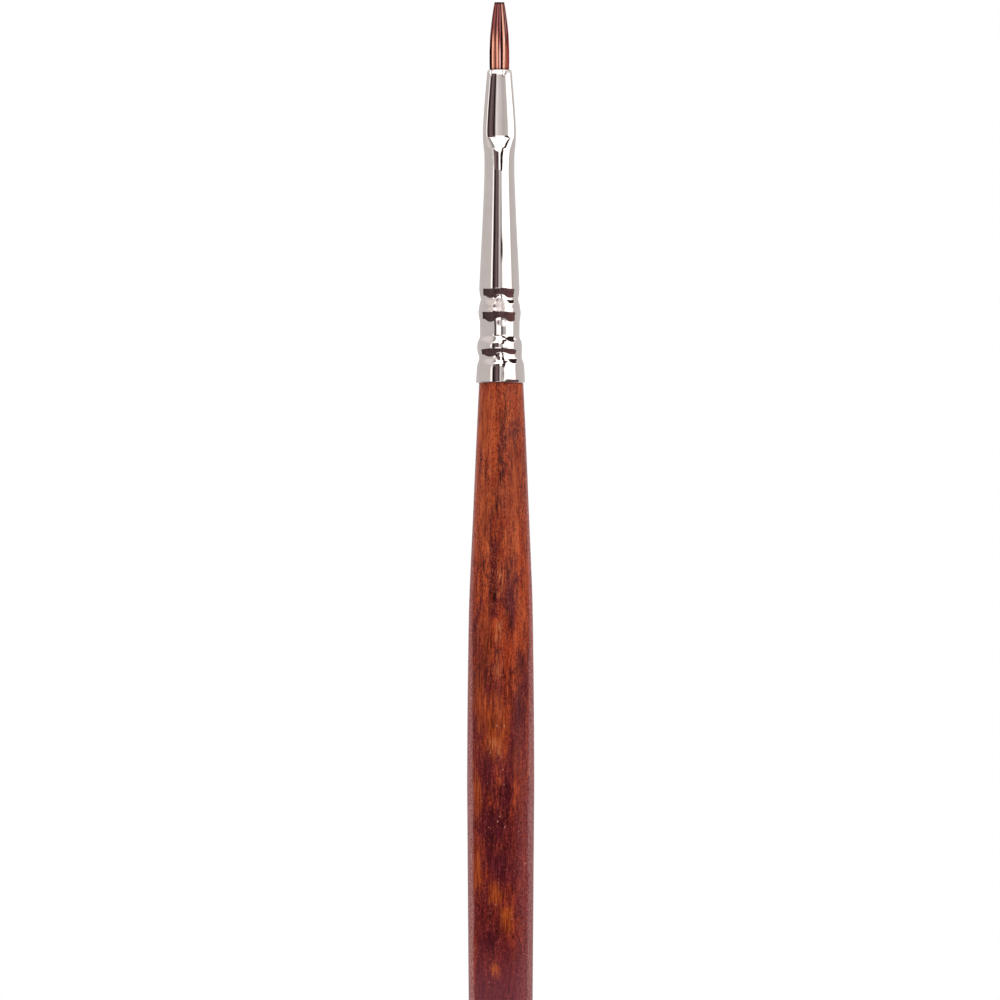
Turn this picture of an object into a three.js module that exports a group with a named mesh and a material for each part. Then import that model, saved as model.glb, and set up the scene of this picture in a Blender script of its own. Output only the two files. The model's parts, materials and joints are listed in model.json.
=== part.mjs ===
// Flat detail brush, short handle: turned wooden handle, pinched and crimped
// metal ferrule, and a tuft of hair grouped in locks.
// Millimetres, +Z up. The brush stands on its butt end: z = 0 is the small flat
// face on the end of the handle, and the tip of the tuft is at z = LENGTH.
// The front of the flat ferrule faces -Y, and its width runs along X.

import * as THREE from 'three';

const { lerp } = THREE.MathUtils;

// ---------------------------------------------------------------- dimensions

const LENGTH = 190; // butt end to the tip of the tuft
const AROUND = 32; // facets round the turned pieces

const FERRULE_BOTTOM = 150.38; // lower edge of the flared skirt
const MOUTH = 182.93; // upper edge of the ferrule, where the hair comes out
const WALL = 0.22; // ferrule wall
const FIT = 0.04; // gap between the ferrule and what fills it
const MIN_ROW_GAP = 0.05; // outline rows nearer than this to an end or edge are left out

const TENON_BOTTOM = FERRULE_BOTTOM + 0.02;
const TENON_TOP = 162; // end of the handle inside the ferrule
const TENON_BEVEL = { height: 0.35, lowerInset: 0.02, upperInset: 0.3 };

const PLUG_BOTTOM = 166; // resin plug behind the hair block
const PLUG_TOP = 172;
// Hollow under the plug: [rise above PLUG_BOTTOM, share of the plug radius].
const PLUG_HOLLOW = [[0.5, 0], [0.4, 0.5], [0.15, 0.85]];

const KNOT_BOTTOM = 172.1; // hair block inside the ferrule
const KNOT_TOP = 182.85;

const THREAD_Z = 174.9; // middle of the binding thread on the hair block
const THREAD_PITCH = 0.16; // three turns lie side by side
const THREAD_DEPTH = 0.11;
const RIB_HALF = THREAD_PITCH * 0.42; // half the height of one rib
const CREST_INSET = 0.012; // thread crests, below the block surface
const VALLEY_INSET = 0.05; // thread valleys, below the block surface
const THREAD_INNER_INSET = THREAD_DEPTH + 0.02;
const GROOVE_DEPTH = THREAD_DEPTH + 0.05;
const GROOVE_HALF = THREAD_PITCH * 1.5 + 0.03; // half the height of the groove
const GROOVE_STEP = 0.001; // rise across each side wall of the groove

// The hair flexes at three places, each with a small gap across the tuft.
const SWAY_Z = 183.05; // sideways sway, just above the mouth
const BEND_Z = 184.55; // first bend
const TIP_BEND_Z = 186.85; // second bend
const SWAY_GAP = 0.08; // from the pivot to the start of the heel
const BEND_GAP = 0.12; // half the gap at a bend

const LOCKS_ACROSS = 7;
const LOCK_GAP = 0.012; // half the gap between two locks
const CROWN_DROP = 0.07; // share of thickness lost from the middle of a lock to its sides
const EDGE_POWER = 3; // thinning of the tuft towards its two edges
const EDGE_ROOT = 2.6;
const THINNEST = 0.35; // least share of the half thickness

// Handle outline from the butt end up to the ferrule: [z, radius].
const HANDLE = [
  [0, 1.15], [0.14, 1.58], [0.5, 1.88], [1.1, 2.07], [2, 2.18], [5, 2.27],
  [12, 2.36], [25, 2.57], [45, 2.87], [65, 3.11], [86.3, 3.286], [98, 3.375],
  [109.1, 3.453], [117.4, 3.41], [123.6, 3.32], [127.8, 3.26], [132, 3.078],
  [138.2, 2.808], [144.4, 2.543], [148.6, 2.34], [150.27, 2.262],
];

// Ferrule outline from the skirt up to the rolled mouth:
// [z, half width (X), half thickness (Y), exponent of the cross-section].
// An exponent of 2 is a round tube; the pinched end is squarer.
const FERRULE = [
  // Flared skirt and crimped grooves
  [FERRULE_BOTTOM, 2.506, 2.506, 2],
  [150.75, 2.512, 2.512, 2],
  [151.5, 2.45, 2.45, 2],
  [152.3, 2.4, 2.4, 2],
  [152.8, 2.262, 2.262, 2],
  [153.15, 2.18, 2.18, 2],
  [153.6, 2.288, 2.288, 2],
  [154.1, 2.31, 2.31, 2],
  [154.6, 2.27, 2.27, 2],
  [155.05, 2.08, 2.08, 2],
  [155.35, 2.035, 2.035, 2],
  [156.6, 2.055, 2.055, 2],
  [157.0, 2.08, 2.08, 2],
  [157.35, 2.145, 2.145, 2],
  [157.76, 2.174, 2.174, 2],
  [158.2, 2.125, 2.125, 2],
  [158.7, 2.01, 2.01, 2],
  [159.0, 1.95, 1.95, 2],
  [159.4, 2.005, 2.005, 2],
  [159.85, 2.07, 2.07, 2],
  // Tapering tube
  [160.3, 2.08, 2.08, 2],
  [162.0, 2.02, 2.02, 2],
  [166.0, 1.82, 1.82, 2],
  [169.4, 1.654, 1.654, 2],
  [172.0, 1.555, 1.56, 2],
  [172.75, 1.544, 1.545, 2],
  // Pinched flat end
  [173.6, 1.56, 1.45, 2.05],
  [174.4, 1.6, 1.27, 2.2],
  [175.1, 1.66, 1.06, 2.4],
  [175.7, 1.7, 0.89, 2.6],
  [176.2, 1.715, 0.81, 2.75],
  [176.8, 1.718, 0.785, 2.8],
  [178.5, 1.63, 0.77, 2.8],
  [180.2, 1.5, 0.755, 2.8],
  [181.9, 1.373, 0.735, 2.8],
  [182.6, 1.3, 0.722, 2.8],
];

// Mouth, rolled in slightly so that its edge doesn't cut the hair. Same columns,
// from the outside over the edge to the inside.
const ROLLED_MOUTH = [
  [182.86, 1.255, 0.7, 2.8],
  [MOUTH, 1.16, 0.62, 2.8],
  [182.84, 1.065, 0.51, 2.8],
];

// Free hair: [z, half width, half thickness].
const TUFT = [
  [MOUTH, 1.01, 0.46],
  [184.0, 1.035, 0.465],
  [185.2, 1.0, 0.44],
  [186.05, 0.983, 0.4],
  [187.0, 0.91, 0.35],
  [188.13, 0.795, 0.26],
  [188.96, 0.68, 0.19],
  [189.5, 0.6, 0.14],
  [LENGTH, 0.5, 0.1],
];

// How far each lock stops short of the tip, from -X to +X: front row, back row.
const LOCK_SHORT = [
  [0.1, 0.03, 0.0, 0.05, 0.02, 0.0, 0.08],
  [0.12, 0.06, 0.04, 0.02, 0.05, 0.06, 0.1],
];

// ---------------------------------------------------------------- materials

const material = (settings) => new THREE.MeshStandardMaterial(settings);

const wood = material({ name: 'lacquered_wood', color: 0x6b2a1a, roughness: 0.2 });
const nickel = material({ name: 'nickel_plate', color: 0xc9c2bd, roughness: 0.12, metalness: 1 });
const resin = material({ name: 'cured_resin', color: 0xb98a4a, roughness: 0.35 });
const thread = material({ name: 'cotton_thread', color: 0xd8cbb0, roughness: 0.9 });
const hair = material({ name: 'brown_hair', color: 0xa8553a, roughness: 0.45 });

// ------------------------------------------------------------------ helpers

// Row of a table at height z, by straight lines between its rows. Beyond the
// table the end row's sizes hold.
function rowAt(table, z) {
  const above = table.findIndex((row) => z <= row[0]);
  if (above <= 0) {
    const end = above === 0 ? table[0] : table[table.length - 1];
    return [z, ...end.slice(1)];
  }
  const [lowerZ, ...lower] = table[above - 1];
  const [upperZ, ...upper] = table[above];
  const share = (z - lowerZ) / (upperZ - lowerZ);
  return [z, ...lower.map((size, i) => lerp(size, upper[i], share))];
}

// The same row with its cross-section drawn in by a depth.
function inset([z, halfWidth, halfThickness, exponent], depth) {
  return [z, halfWidth - depth, halfThickness - depth, exponent];
}

// Moves a unit-circle coordinate onto a superellipse.
function stretch(unit, size, exponent) {
  return size === 0 ? 0 : size * Math.sign(unit) * Math.abs(unit) ** (2 / exponent);
}

// Lathe about Z from rows [z, half width, half thickness, exponent]; rows
// [z, radius] are round. The lathe turns a plain radius-1 outline, and each ring
// is then pushed out to its own cross-section. Rows of zero size lie on the axis.
function turned(rows) {
  const points = rows.map(([, size], i) => new THREE.Vector2(size === 0 ? 0 : 1, i));
  const geometry = new THREE.LatheGeometry(points, AROUND);
  const position = geometry.attributes.position;
  for (let i = 0; i < position.count; i++) {
    const [z, halfWidth, halfThickness = halfWidth, exponent = 2] = rows[i % rows.length];
    const x = stretch(position.getX(i), halfWidth, exponent);
    const y = stretch(position.getZ(i), halfThickness, exponent);
    // The lathe turns about Y, so its Z becomes -Y here.
    position.setXYZ(i, x, -y, z);
  }
  return geometry;
}

// Lathe whose outline returns to its first row, for tubes and rings.
const turnedRing = (rows) => turned([...rows, rows[0]]);

function piece(name, geometry, material) {
  geometry.deleteAttribute('normal');
  geometry.deleteAttribute('uv');
  const mesh = new THREE.Mesh(geometry, material);
  mesh.name = name;
  return mesh;
}

// ------------------------------------------------------------------ ferrule

const FERRULE_INSIDE = FERRULE.map((row) => inset(row, WALL));

// Drawn tube, open at both ends. The inside follows the outside.
function makeFerrule() {
  const rows = [...FERRULE, ...ROLLED_MOUTH, ...[...FERRULE_INSIDE].reverse()];
  return piece('ferrule', turnedRing(rows), nickel);
}

// Rows of whatever fills the ferrule, at the same heights as its inside.
function filling(from, to) {
  const between = FERRULE_INSIDE.map(([z]) => z).filter(
    (z) => z > from + MIN_ROW_GAP && z < to - MIN_ROW_GAP,
  );
  return [from, ...between, to].map((z) => inset(rowAt(FERRULE_INSIDE, z), FIT));
}

// ------------------------------------------------------------------- handle

// One turned piece. Above the skirt the wood carries on as a tenon, which takes
// the shape of the crimped grooves that hold it.
function makeHandle() {
  const bevelZ = TENON_TOP - TENON_BEVEL.height;
  const tenon = filling(TENON_BOTTOM, bevelZ);
  const [, endRadius] = tenon.pop();
  const rows = [
    [0, 0],
    ...HANDLE,
    ...tenon,
    [bevelZ, endRadius - TENON_BEVEL.lowerInset],
    [TENON_TOP, endRadius - TENON_BEVEL.upperInset],
    [TENON_TOP, 0],
  ];
  return piece('handle', turned(rows), wood);
}

// ----------------------------------------------------- inside of the ferrule

// Resin poured in behind the hair. Its lower face is a shallow hollow.
function makePlug() {
  const wall = filling(PLUG_BOTTOM, PLUG_TOP);
  const radius = wall[0][1];
  const hollow = PLUG_HOLLOW.map(([rise, share]) => [PLUG_BOTTOM + rise, radius * share]);
  return piece('epoxy_plug', turned([...hollow, ...wall, [PLUG_TOP, 0]]), resin);
}

const KNOT = filling(KNOT_BOTTOM, KNOT_TOP);

// Row at height z, drawn in from the surface of the hair block.
const knotRow = (z, depth = 0) => inset(rowAt(KNOT, z), depth);

// Hair block: the root ends of all the hairs, set in resin, with a shallow
// groove for the binding thread.
function makeKnot() {
  const grooveBottom = THREAD_Z - GROOVE_HALF;
  const grooveTop = THREAD_Z + GROOVE_HALF;
  const rows = [
    [KNOT_BOTTOM, 0],
    ...KNOT.filter(([z]) => z < grooveBottom - MIN_ROW_GAP),
    knotRow(grooveBottom),
    knotRow(grooveBottom + GROOVE_STEP, GROOVE_DEPTH),
    knotRow(grooveTop - GROOVE_STEP, GROOVE_DEPTH),
    knotRow(grooveTop),
    ...KNOT.filter(([z]) => z > grooveTop + MIN_ROW_GAP),
    [KNOT_TOP, 0],
  ];
  return piece('hair_root_knot', turned(rows), hair);
}

// Three turns of thread, drawn tight and stuck together, as one ribbed ring.
function makeThread() {
  const bottom = THREAD_Z - THREAD_PITCH - RIB_HALF;
  const top = THREAD_Z + THREAD_PITCH + RIB_HALF;
  const ribs = [-1, 0, 1].flatMap((turn) => {
    const z = THREAD_Z + turn * THREAD_PITCH;
    return [knotRow(z - RIB_HALF, VALLEY_INSET), knotRow(z, CREST_INSET)];
  });
  const rows = [
    ...ribs,
    knotRow(top, VALLEY_INSET),
    knotRow(top, THREAD_INNER_INSET),
    knotRow(bottom, THREAD_INNER_INSET),
  ];
  return piece('binding_thread', turnedRing(rows), thread);
}

// --------------------------------------------------------------------- tuft

// One length of a lock: a box, halved across and along, whose corners are moved
// to their places so that the lock narrows and thins with the tuft.
// Row 0 is the front row; columns count from -X.
function makeLock(name, row, column, from, to) {
  const box = new THREE.BoxGeometry(1, 1, 1, 2, 1, 2);
  const position = box.attributes.position;
  for (let i = 0; i < position.count; i++) {
    const across = position.getX(i) + 0.5;
    const through = position.getY(i) + 0.5;
    const z = lerp(from, to, position.getZ(i) + 0.5);
    const [, halfWidth, halfThickness] = rowAt(TUFT, z);

    const pitch = (2 * halfWidth) / LOCKS_ACROSS;
    const left = -halfWidth + pitch * column + LOCK_GAP;
    const right = -halfWidth + pitch * (column + 1) - LOCK_GAP;
    const x = lerp(left, right, across);

    // The tuft is thinner towards its two edges, and each lock is rounded.
    const edge = Math.min(1, Math.abs(x) / halfWidth);
    const crown = 1 - CROWN_DROP * Math.abs(2 * across - 1);
    const thinning = (1 - edge ** EDGE_POWER) ** (1 / EDGE_ROOT);
    const outer = halfThickness * Math.max(crown * thinning, THINNEST);
    // Both rows run from -Y to +Y, which keeps the faces outward.
    const [front, back] = row === 0 ? [-outer, -LOCK_GAP] : [LOCK_GAP, outer];
    position.setXYZ(i, x, lerp(front, back, through), z);
  }
  return piece(name, box, hair);
}

// Two rows of locks, each lock in three lengths parted at the bends.
function makeTuft() {
  const tuft = new THREE.Group();
  LOCK_SHORT.forEach((shorts, row) => {
    shorts.forEach((short, column) => {
      const number = String(row * LOCKS_ACROSS + column + 1).padStart(2, '0');
      const lengths = [
        ['heel', SWAY_Z + SWAY_GAP, BEND_Z - BEND_GAP],
        ['belly', BEND_Z + BEND_GAP, TIP_BEND_Z - BEND_GAP],
        ['toe', TIP_BEND_Z + BEND_GAP, LENGTH - short],
      ];
      for (const [part, from, to] of lengths) {
        tuft.add(makeLock(`${part}_lock_${number}`, row, column, from, to));
      }
    });
  });
  return tuft;
}

const brush = new THREE.Group();
brush.add(makeHandle(), makeFerrule(), makePlug(), makeKnot(), makeThread(), makeTuft());

export default brush;
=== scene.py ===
"""Fine detail brush, standing upright on the end of its handle.

+Z runs from the handle (z = 0) through the ferrule to the tip of the hair. The flat of the
ferrule faces the front, which is -Y, and +X is to the right seen from there. Lengths are
millimetres until they go into a mesh (MM turns them into metres); shaders work in metres.
"""

import json
import math
from collections import namedtuple

import bpy
import numpy as np
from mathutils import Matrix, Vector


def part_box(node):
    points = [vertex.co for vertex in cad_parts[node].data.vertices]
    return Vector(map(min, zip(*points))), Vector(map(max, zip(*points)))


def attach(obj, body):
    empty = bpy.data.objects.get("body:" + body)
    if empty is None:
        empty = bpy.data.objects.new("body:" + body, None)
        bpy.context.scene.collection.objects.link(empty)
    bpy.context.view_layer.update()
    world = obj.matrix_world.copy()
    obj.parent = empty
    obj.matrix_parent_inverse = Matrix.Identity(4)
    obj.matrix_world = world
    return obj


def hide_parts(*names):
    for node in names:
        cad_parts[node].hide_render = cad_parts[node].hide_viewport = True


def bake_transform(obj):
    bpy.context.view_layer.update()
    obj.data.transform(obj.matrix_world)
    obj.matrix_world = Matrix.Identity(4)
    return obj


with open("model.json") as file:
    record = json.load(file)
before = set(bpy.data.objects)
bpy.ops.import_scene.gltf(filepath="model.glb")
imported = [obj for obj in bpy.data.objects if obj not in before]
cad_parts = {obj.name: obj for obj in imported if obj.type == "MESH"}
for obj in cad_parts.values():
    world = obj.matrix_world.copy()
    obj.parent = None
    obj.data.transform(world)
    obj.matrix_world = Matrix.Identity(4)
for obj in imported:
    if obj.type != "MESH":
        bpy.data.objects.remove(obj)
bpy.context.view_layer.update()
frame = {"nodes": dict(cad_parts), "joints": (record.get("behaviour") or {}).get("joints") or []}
MM = 0.001


# ------------------------------------------------------------------ frame facts
def box_heights(piece):
    """Lower and upper z of a frame piece."""
    low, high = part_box(piece)
    return low.z / MM, high.z / MM


Z_SKIRT, Z_MOUTH = box_heights("ferrule")  # lower edge, and the upper edge where hair comes out
Z_TENON = box_heights("handle")[1]
Z_TIP = box_heights("toe_lock_03")[1]
joints = {joint["name"]: joint for joint in frame["joints"]}
Z_SWAY, Z_BEND, Z_TIP_BEND = (
    joints[name]["pos_m"][2] / MM for name in ("tuft_sway", "tuft_bend", "tip_bend")
)
WALL = 0.22  # of the ferrule tube


# ----------------------------------------------------------------- shape helpers
def smoothstep(start, end, x):
    """0 at start, 1 at end; start may be the larger."""
    t = np.clip((np.asarray(x, float) - start) / (end - start), 0.0, 1.0)
    return t * t * (3 - 2 * t)


def hill(x, centre, half):
    """A rounded hill: 1 at centre, 0 beyond half on either side."""
    t = np.clip(1 - np.abs((np.asarray(x, float) - centre) / half), 0, 1)
    return t * t * (3 - 2 * t)


def monotone(xs, ys):
    """A smooth curve through the points that never overshoots them (Fritsch-Carlson)."""
    xs, ys = np.asarray(xs, float), np.asarray(ys, float)
    gap = np.diff(xs)
    rise = np.diff(ys) / gap
    slope = np.zeros(len(xs))
    slope[0], slope[-1] = rise[0], rise[-1]
    for i in range(1, len(xs) - 1):
        if rise[i - 1] * rise[i] > 0:
            before, after = 2 * gap[i] + gap[i - 1], gap[i] + 2 * gap[i - 1]
            slope[i] = (before + after) / (before / rise[i - 1] + after / rise[i])

    def curve(x):
        x = np.clip(np.asarray(x, float), xs[0], xs[-1])
        k = np.clip(np.searchsorted(xs, x) - 1, 0, len(xs) - 2)
        t = (x - xs[k]) / gap[k]
        return (
            (2 * t**3 - 3 * t**2 + 1) * ys[k]
            + (t**3 - 2 * t**2 + t) * gap[k] * slope[k]
            + (-2 * t**3 + 3 * t**2) * ys[k + 1]
            + (t**3 - t**2) * gap[k] * slope[k + 1]
        )

    return curve


def full_turn(sides):
    return np.linspace(0, 2 * math.pi, sides, endpoint=False)


def oval(angle, half_x, half_y, power):
    """(x, y) on a superellipse; power 2 is an ellipse, more is squarer."""
    cos, sin = np.cos(angle), np.sin(angle)
    return (
        half_x * np.sign(cos) * np.abs(cos) ** (2 / power),
        half_y * np.sign(sin) * np.abs(sin) ** (2 / power),
    )


def ring_at(x, y, z):
    return np.stack(np.broadcast_arrays(x, y, z), 1)


def wobble(angle, z, height, seed, waves, per_mm):
    """A smooth, repeatable ripple: up to so many waves round, per_mm radians a mm along."""
    random = np.random.default_rng(seed)
    total = 0.0
    for _ in range(6):
        around = random.integers(1, waves + 1)
        along = random.uniform(0.3, 1.0) * per_mm
        wave = np.sin(around * angle + along * z + random.uniform(0, 6.28))
        total = total + wave * random.uniform(0.4, 1.0)
    return total * height / 3.0


# ------------------------------------------------------------------ mesh helpers
def make_mesh(name, vertices, quads, triangles=(), smooth=True):
    mesh = bpy.data.meshes.new(name)
    faces = [tuple(int(i) for i in face) for face in [*quads, *triangles]]
    mesh.from_pydata((np.asarray(vertices, float) * MM).tolist(), [], faces)
    mesh.update()
    if smooth:
        mesh.polygons.foreach_set("use_smooth", [True] * len(mesh.polygons))
    piece = bpy.data.objects.new(name, mesh)
    bpy.context.scene.collection.objects.link(piece)
    return piece


def rings_to_mesh(name, rings, closed=False):
    """Skin the rings. Closed joins the last ring to the first; otherwise both ends are capped."""
    rings = np.asarray(rings, float)
    count, sides, _ = rings.shape
    vertices = rings.reshape(-1, 3)
    here = np.arange(sides)
    after = (here + 1) % sides
    quads = []
    for i in range(count if closed else count - 1):
        low, high = i * sides, (i + 1) % count * sides
        quads.append(np.stack([low + here, low + after, high + after, high + here], 1))
    triangles = []
    if not closed:
        first_centre = len(vertices)
        last_centre, last = first_centre + 1, (count - 1) * sides
        vertices = np.concatenate([vertices, [rings[0].mean(0), rings[-1].mean(0)]])
        triangles += [(first_centre, after[i], i) for i in here]
        triangles += [(last_centre, last + i, last + after[i]) for i in here]
    return make_mesh(name, vertices, np.concatenate(quads), triangles)


def fix_to_grip(piece, replaced, material):
    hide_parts(replaced)
    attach(piece, "grip")
    piece.data.materials.append(material)


# ------------------------------------------------------------------ node helpers
def rgba(colour):
    """Linear RGBA from a grey, an RGB triple or an sRGB hex code; sockets pass unchanged."""
    if isinstance(colour, bpy.types.NodeSocket):
        return colour
    if isinstance(colour, (int, float)):
        return (colour, colour, colour, 1.0)
    if isinstance(colour, str):
        values = [int(colour[i : i + 2], 16) / 255 for i in (1, 3, 5)]
        colour = [v / 12.92 if v <= 0.04045 else ((v + 0.055) / 1.055) ** 2.4 for v in values]
    return (*colour, 1.0)


class Nodes:
    """A terse way to write a node tree. Inputs may be values or sockets."""

    def __init__(self, tree, output_kind):
        self.tree = tree
        tree.nodes.clear()
        self.output = self.add(output_kind)

    def add(self, kind, inputs=None, **properties):
        node = self.tree.nodes.new(kind)
        for key, value in properties.items():
            setattr(node, key, value)
        self.put(node, inputs or {})
        return node

    def put(self, node, inputs):
        for key, value in inputs.items():
            if isinstance(value, bpy.types.NodeSocket):
                self.tree.links.new(value, node.inputs[key])
            else:
                node.inputs[key].default_value = value

    def coords(self, kind="Object"):
        return self.add("ShaderNodeTexCoord").outputs[kind]

    def split(self, vector):
        return self.add("ShaderNodeSeparateXYZ", {"Vector": vector}).outputs

    def math(self, operation, *values):
        inputs = dict(enumerate(values))
        return self.add("ShaderNodeMath", inputs, operation=operation).outputs[0]

    def times(self, a, b):
        return self.math("MULTIPLY", a, b)

    def plus(self, a, b):
        return self.math("ADD", a, b)

    def linear(self, value, scale, offset):
        return self.math("MULTIPLY_ADD", value, scale, offset)

    def vector(self, operation, *values, output=0):
        inputs = dict(enumerate(values))
        return self.add("ShaderNodeVectorMath", inputs, operation=operation).outputs[output]

    def scaled(self, vector, scale):
        inputs = {0: vector, "Scale": scale}
        return self.add("ShaderNodeVectorMath", inputs, operation="SCALE").outputs[0]

    def smooth(self, value, start, end, times=None):
        """0 at start, 1 at end (start may be the larger), then multiplied by times."""
        inputs = {"Value": value, "From Min": start, "From Max": end}
        node = self.add("ShaderNodeMapRange", inputs, interpolation_type="SMOOTHSTEP")
        return node.outputs[0] if times is None else self.times(node.outputs[0], times)

    def ellipse(self, x, z, centre, half):
        """Distance from an (x, z) centre in mm, reaching 1 at the half sizes."""
        across = self.linear(x, scale=1000 / half[0], offset=-centre[0] / half[0])
        along = self.linear(z, scale=1000 / half[1], offset=-centre[1] / half[1])
        return self.math(
            "SQRT", self.plus(self.times(across, across), self.times(along, along))
        )

    def ramp(self, factor, stops, mode="LINEAR"):
        node = self.add("ShaderNodeValToRGB")
        node.color_ramp.interpolation = mode
        elements = node.color_ramp.elements
        while len(elements) > 1:
            elements.remove(elements[-1])
        elements[0].position = stops[0][0]
        elements[0].color = rgba(stops[0][1])
        for position, colour in stops[1:]:
            elements.new(position).color = rgba(colour)
        self.put(node, {"Fac": factor})
        return node.outputs["Color"]

    def mix(self, factor, under, over):
        inputs = {0: factor, 6: rgba(under), 7: rgba(over)}
        return self.add("ShaderNodeMix", inputs, data_type="RGBA", clamp_factor=True).outputs[2]

    def mapping(self, vector, scale, shift=(0, 0, 0)):
        inputs = {"Vector": vector, "Scale": scale, "Location": shift}
        return self.add("ShaderNodeMapping", inputs).outputs[0]

    def noise(self, vector, detail, roughness, scale=1.0, stretch=None, shift=(0, 0, 0)):
        """Noise, over stretched coordinates if stretch is given."""
        if stretch is not None:
            vector = self.mapping(vector, stretch, shift)
        inputs = {"Vector": vector, "Scale": scale, "Detail": detail, "Roughness": roughness}
        return self.add("ShaderNodeTexNoise", inputs).outputs["Fac"]

    def bump(self, height, strength, distance):
        """A bumped normal; distance in metres."""
        inputs = {"Strength": strength, "Distance": distance, "Height": height}
        return self.add("ShaderNodeBump", inputs).outputs[0]


def new_material(name):
    material = bpy.data.materials.new(name)
    material.use_nodes = True
    nodes = Nodes(material.node_tree, "ShaderNodeOutputMaterial")
    shader = nodes.add("ShaderNodeBsdfPrincipled")
    nodes.put(nodes.output, {"Surface": shader.outputs[0]})
    return material, nodes, shader


# --------------------------------------------------------------------- ferrule
# Height above the skirt edge, and how far the ridges between the crimps stand from the axis.
FERRULE_SIDE = np.array([
    [0.00, 2.548], [0.31, 2.534], [0.72, 2.512], [1.14, 2.488], [1.56, 2.463], [1.87, 2.434],
    [2.08, 2.390], [2.28, 2.318], [2.44, 2.262], [2.70, 2.232], [2.91, 2.240], [3.12, 2.288],
    [3.32, 2.316], [3.64, 2.330], [3.95, 2.325], [4.26, 2.278], [4.42, 2.223], [4.57, 2.153],
    [4.73, 2.090], [4.88, 2.060], [5.51, 2.066], [6.13, 2.073], [6.34, 2.078], [6.55, 2.108],
    [6.76, 2.134], [6.96, 2.166], [7.17, 2.190], [7.38, 2.202], [7.59, 2.172], [7.80, 2.138],
    [8.00, 2.112], [8.21, 2.078], [8.42, 2.028], [8.63, 1.976], [8.78, 1.974], [8.94, 1.998],
    [9.15, 2.044], [9.36, 2.072], [9.58, 2.092], [9.80, 2.106], [10.29, 2.088], [10.71, 2.070],
    [12.79, 1.972], [14.87, 1.862], [16.95, 1.764], [19.03, 1.672], [21.11, 1.592],
    [21.94, 1.572], [22.77, 1.566], [23.60, 1.574], [24.02, 1.594], [24.44, 1.640],
    [24.85, 1.680], [25.27, 1.704], [25.68, 1.715], [26.10, 1.720], [26.52, 1.712],
    [26.93, 1.694], [27.76, 1.648], [28.60, 1.596], [29.43, 1.530], [30.26, 1.464],
    [31.09, 1.392], [31.92, 1.328], [32.34, 1.300],
])  # fmt: skip
# The pinched part: height above the skirt edge, half thickness front to back, oval power.
FERRULE_PINCH = np.array([
    [21.94, 1.572, 2.00], [22.30, 1.550, 2.00], [22.77, 1.516, 2.00], [23.20, 1.479, 2.00],
    [23.60, 1.446, 2.01], [24.00, 1.402, 2.02], [24.20, 1.374, 2.03], [24.35, 1.348, 2.04],
    [24.50, 1.290, 2.06], [24.70, 1.203, 2.10], [24.92, 1.108, 2.16], [25.20, 0.984, 2.28],
    [25.35, 0.905, 2.42], [25.47, 0.815, 2.70], [25.80, 0.790, 2.80], [28.10, 0.772, 2.80],
    [29.80, 0.757, 2.80], [31.50, 0.737, 2.80], [32.25, 0.722, 2.80],
])  # fmt: skip
# Height above the skirt edge, and how strongly the crimps press the tube into flat faces.
FERRULE_FACES = np.array([
    [0.0, 0.018], [1.2, 0.018], [1.8, 0.036], [2.2, 0.102], [2.6, 0.152], [2.95, 0.145],
    [3.3, 0.058], [3.65, 0.022], [4.0, 0.036], [4.5, 0.116], [4.9, 0.160], [6.3, 0.160],
    [6.6, 0.116], [6.95, 0.054], [7.4, 0.025], [7.8, 0.043], [8.3, 0.116], [8.6, 0.160],
    [8.95, 0.145], [9.3, 0.043], [9.7, 0.007], [10.3, 0.000], [32.5, 0.000],
])  # fmt: skip
round_part = FERRULE_SIDE[FERRULE_SIDE[:, 0] < 21.9]
half_width = monotone(FERRULE_SIDE[:, 0] + Z_SKIRT, FERRULE_SIDE[:, 1])
half_depth = monotone(
    np.concatenate([round_part[:, 0], FERRULE_PINCH[:, 0]]) + Z_SKIRT,
    np.concatenate([round_part[:, 1], FERRULE_PINCH[:, 1]]),
)
oval_power = monotone(
    np.concatenate([[0.0, 20.0], FERRULE_PINCH[:, 0]]) + Z_SKIRT,
    np.concatenate([[2.0, 2.0], FERRULE_PINCH[:, 2]]),
)
face_strength = monotone(FERRULE_FACES[:, 0] + Z_SKIRT, FERRULE_FACES[:, 1])

FERRULE_SIDES = 288
JAWS = 6  # fingers of the crimping tool
HALF_JAW = math.pi / JAWS
RIDGE = math.radians(-86.6)  # the ridge between two fingers that faces the front
# The sloping flat left by the pinching tool: heights above the skirt edge, half thickness at
# its top, and how much that grows per mm down.
SLOPE_LOW, SLOPE_TOP, SLOPE_DEEP, SLOPE = 23.4, 25.43, 0.790, 0.518
# Arches of the ridges: height above the skirt edge, half height, rise.
ARCHES = [(9.05, 0.92, 0.46), (6.62, 0.95, 0.54), (2.95, 0.90, 0.50)]
CREASES = [(-0.93, 0.065), (0.44, 0.045)]  # at the mouth: x, depth
CREASE_WIDTH = 0.075
Z_ROLL = Z_MOUTH - 0.45  # where the rolled edge of the mouth begins
ROLL_POWER = 2.8
SKIRT_BORE = 2.5 - WALL  # radius inside the skirt edge


# The handle sits a little to the right in the ferrule, and the ferrule's skirt has followed it.
def ferrule_shift(z):
    above = np.asarray(z, float) - Z_SKIRT
    return 0.022 * smoothstep(9.0, 6.5, above) + 0.098 * smoothstep(3.4, 2.3, above)


def handle_shift(z):
    above = np.asarray(z, float) - Z_SKIRT
    return 0.135 + 0.055 * smoothstep(-36.0, -1.0, above)


def from_ridge(angle):
    """Angle to the nearest ridge, in radians."""
    return (angle - RIDGE + HALF_JAW) % (2 * HALF_JAW) - HALF_JAW


def ridge_ratio(strength):
    """Radius of the ridges over that of the middles of the faces."""
    return 1 + strength * (1 / math.cos(HALF_JAW) - 1)


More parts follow.
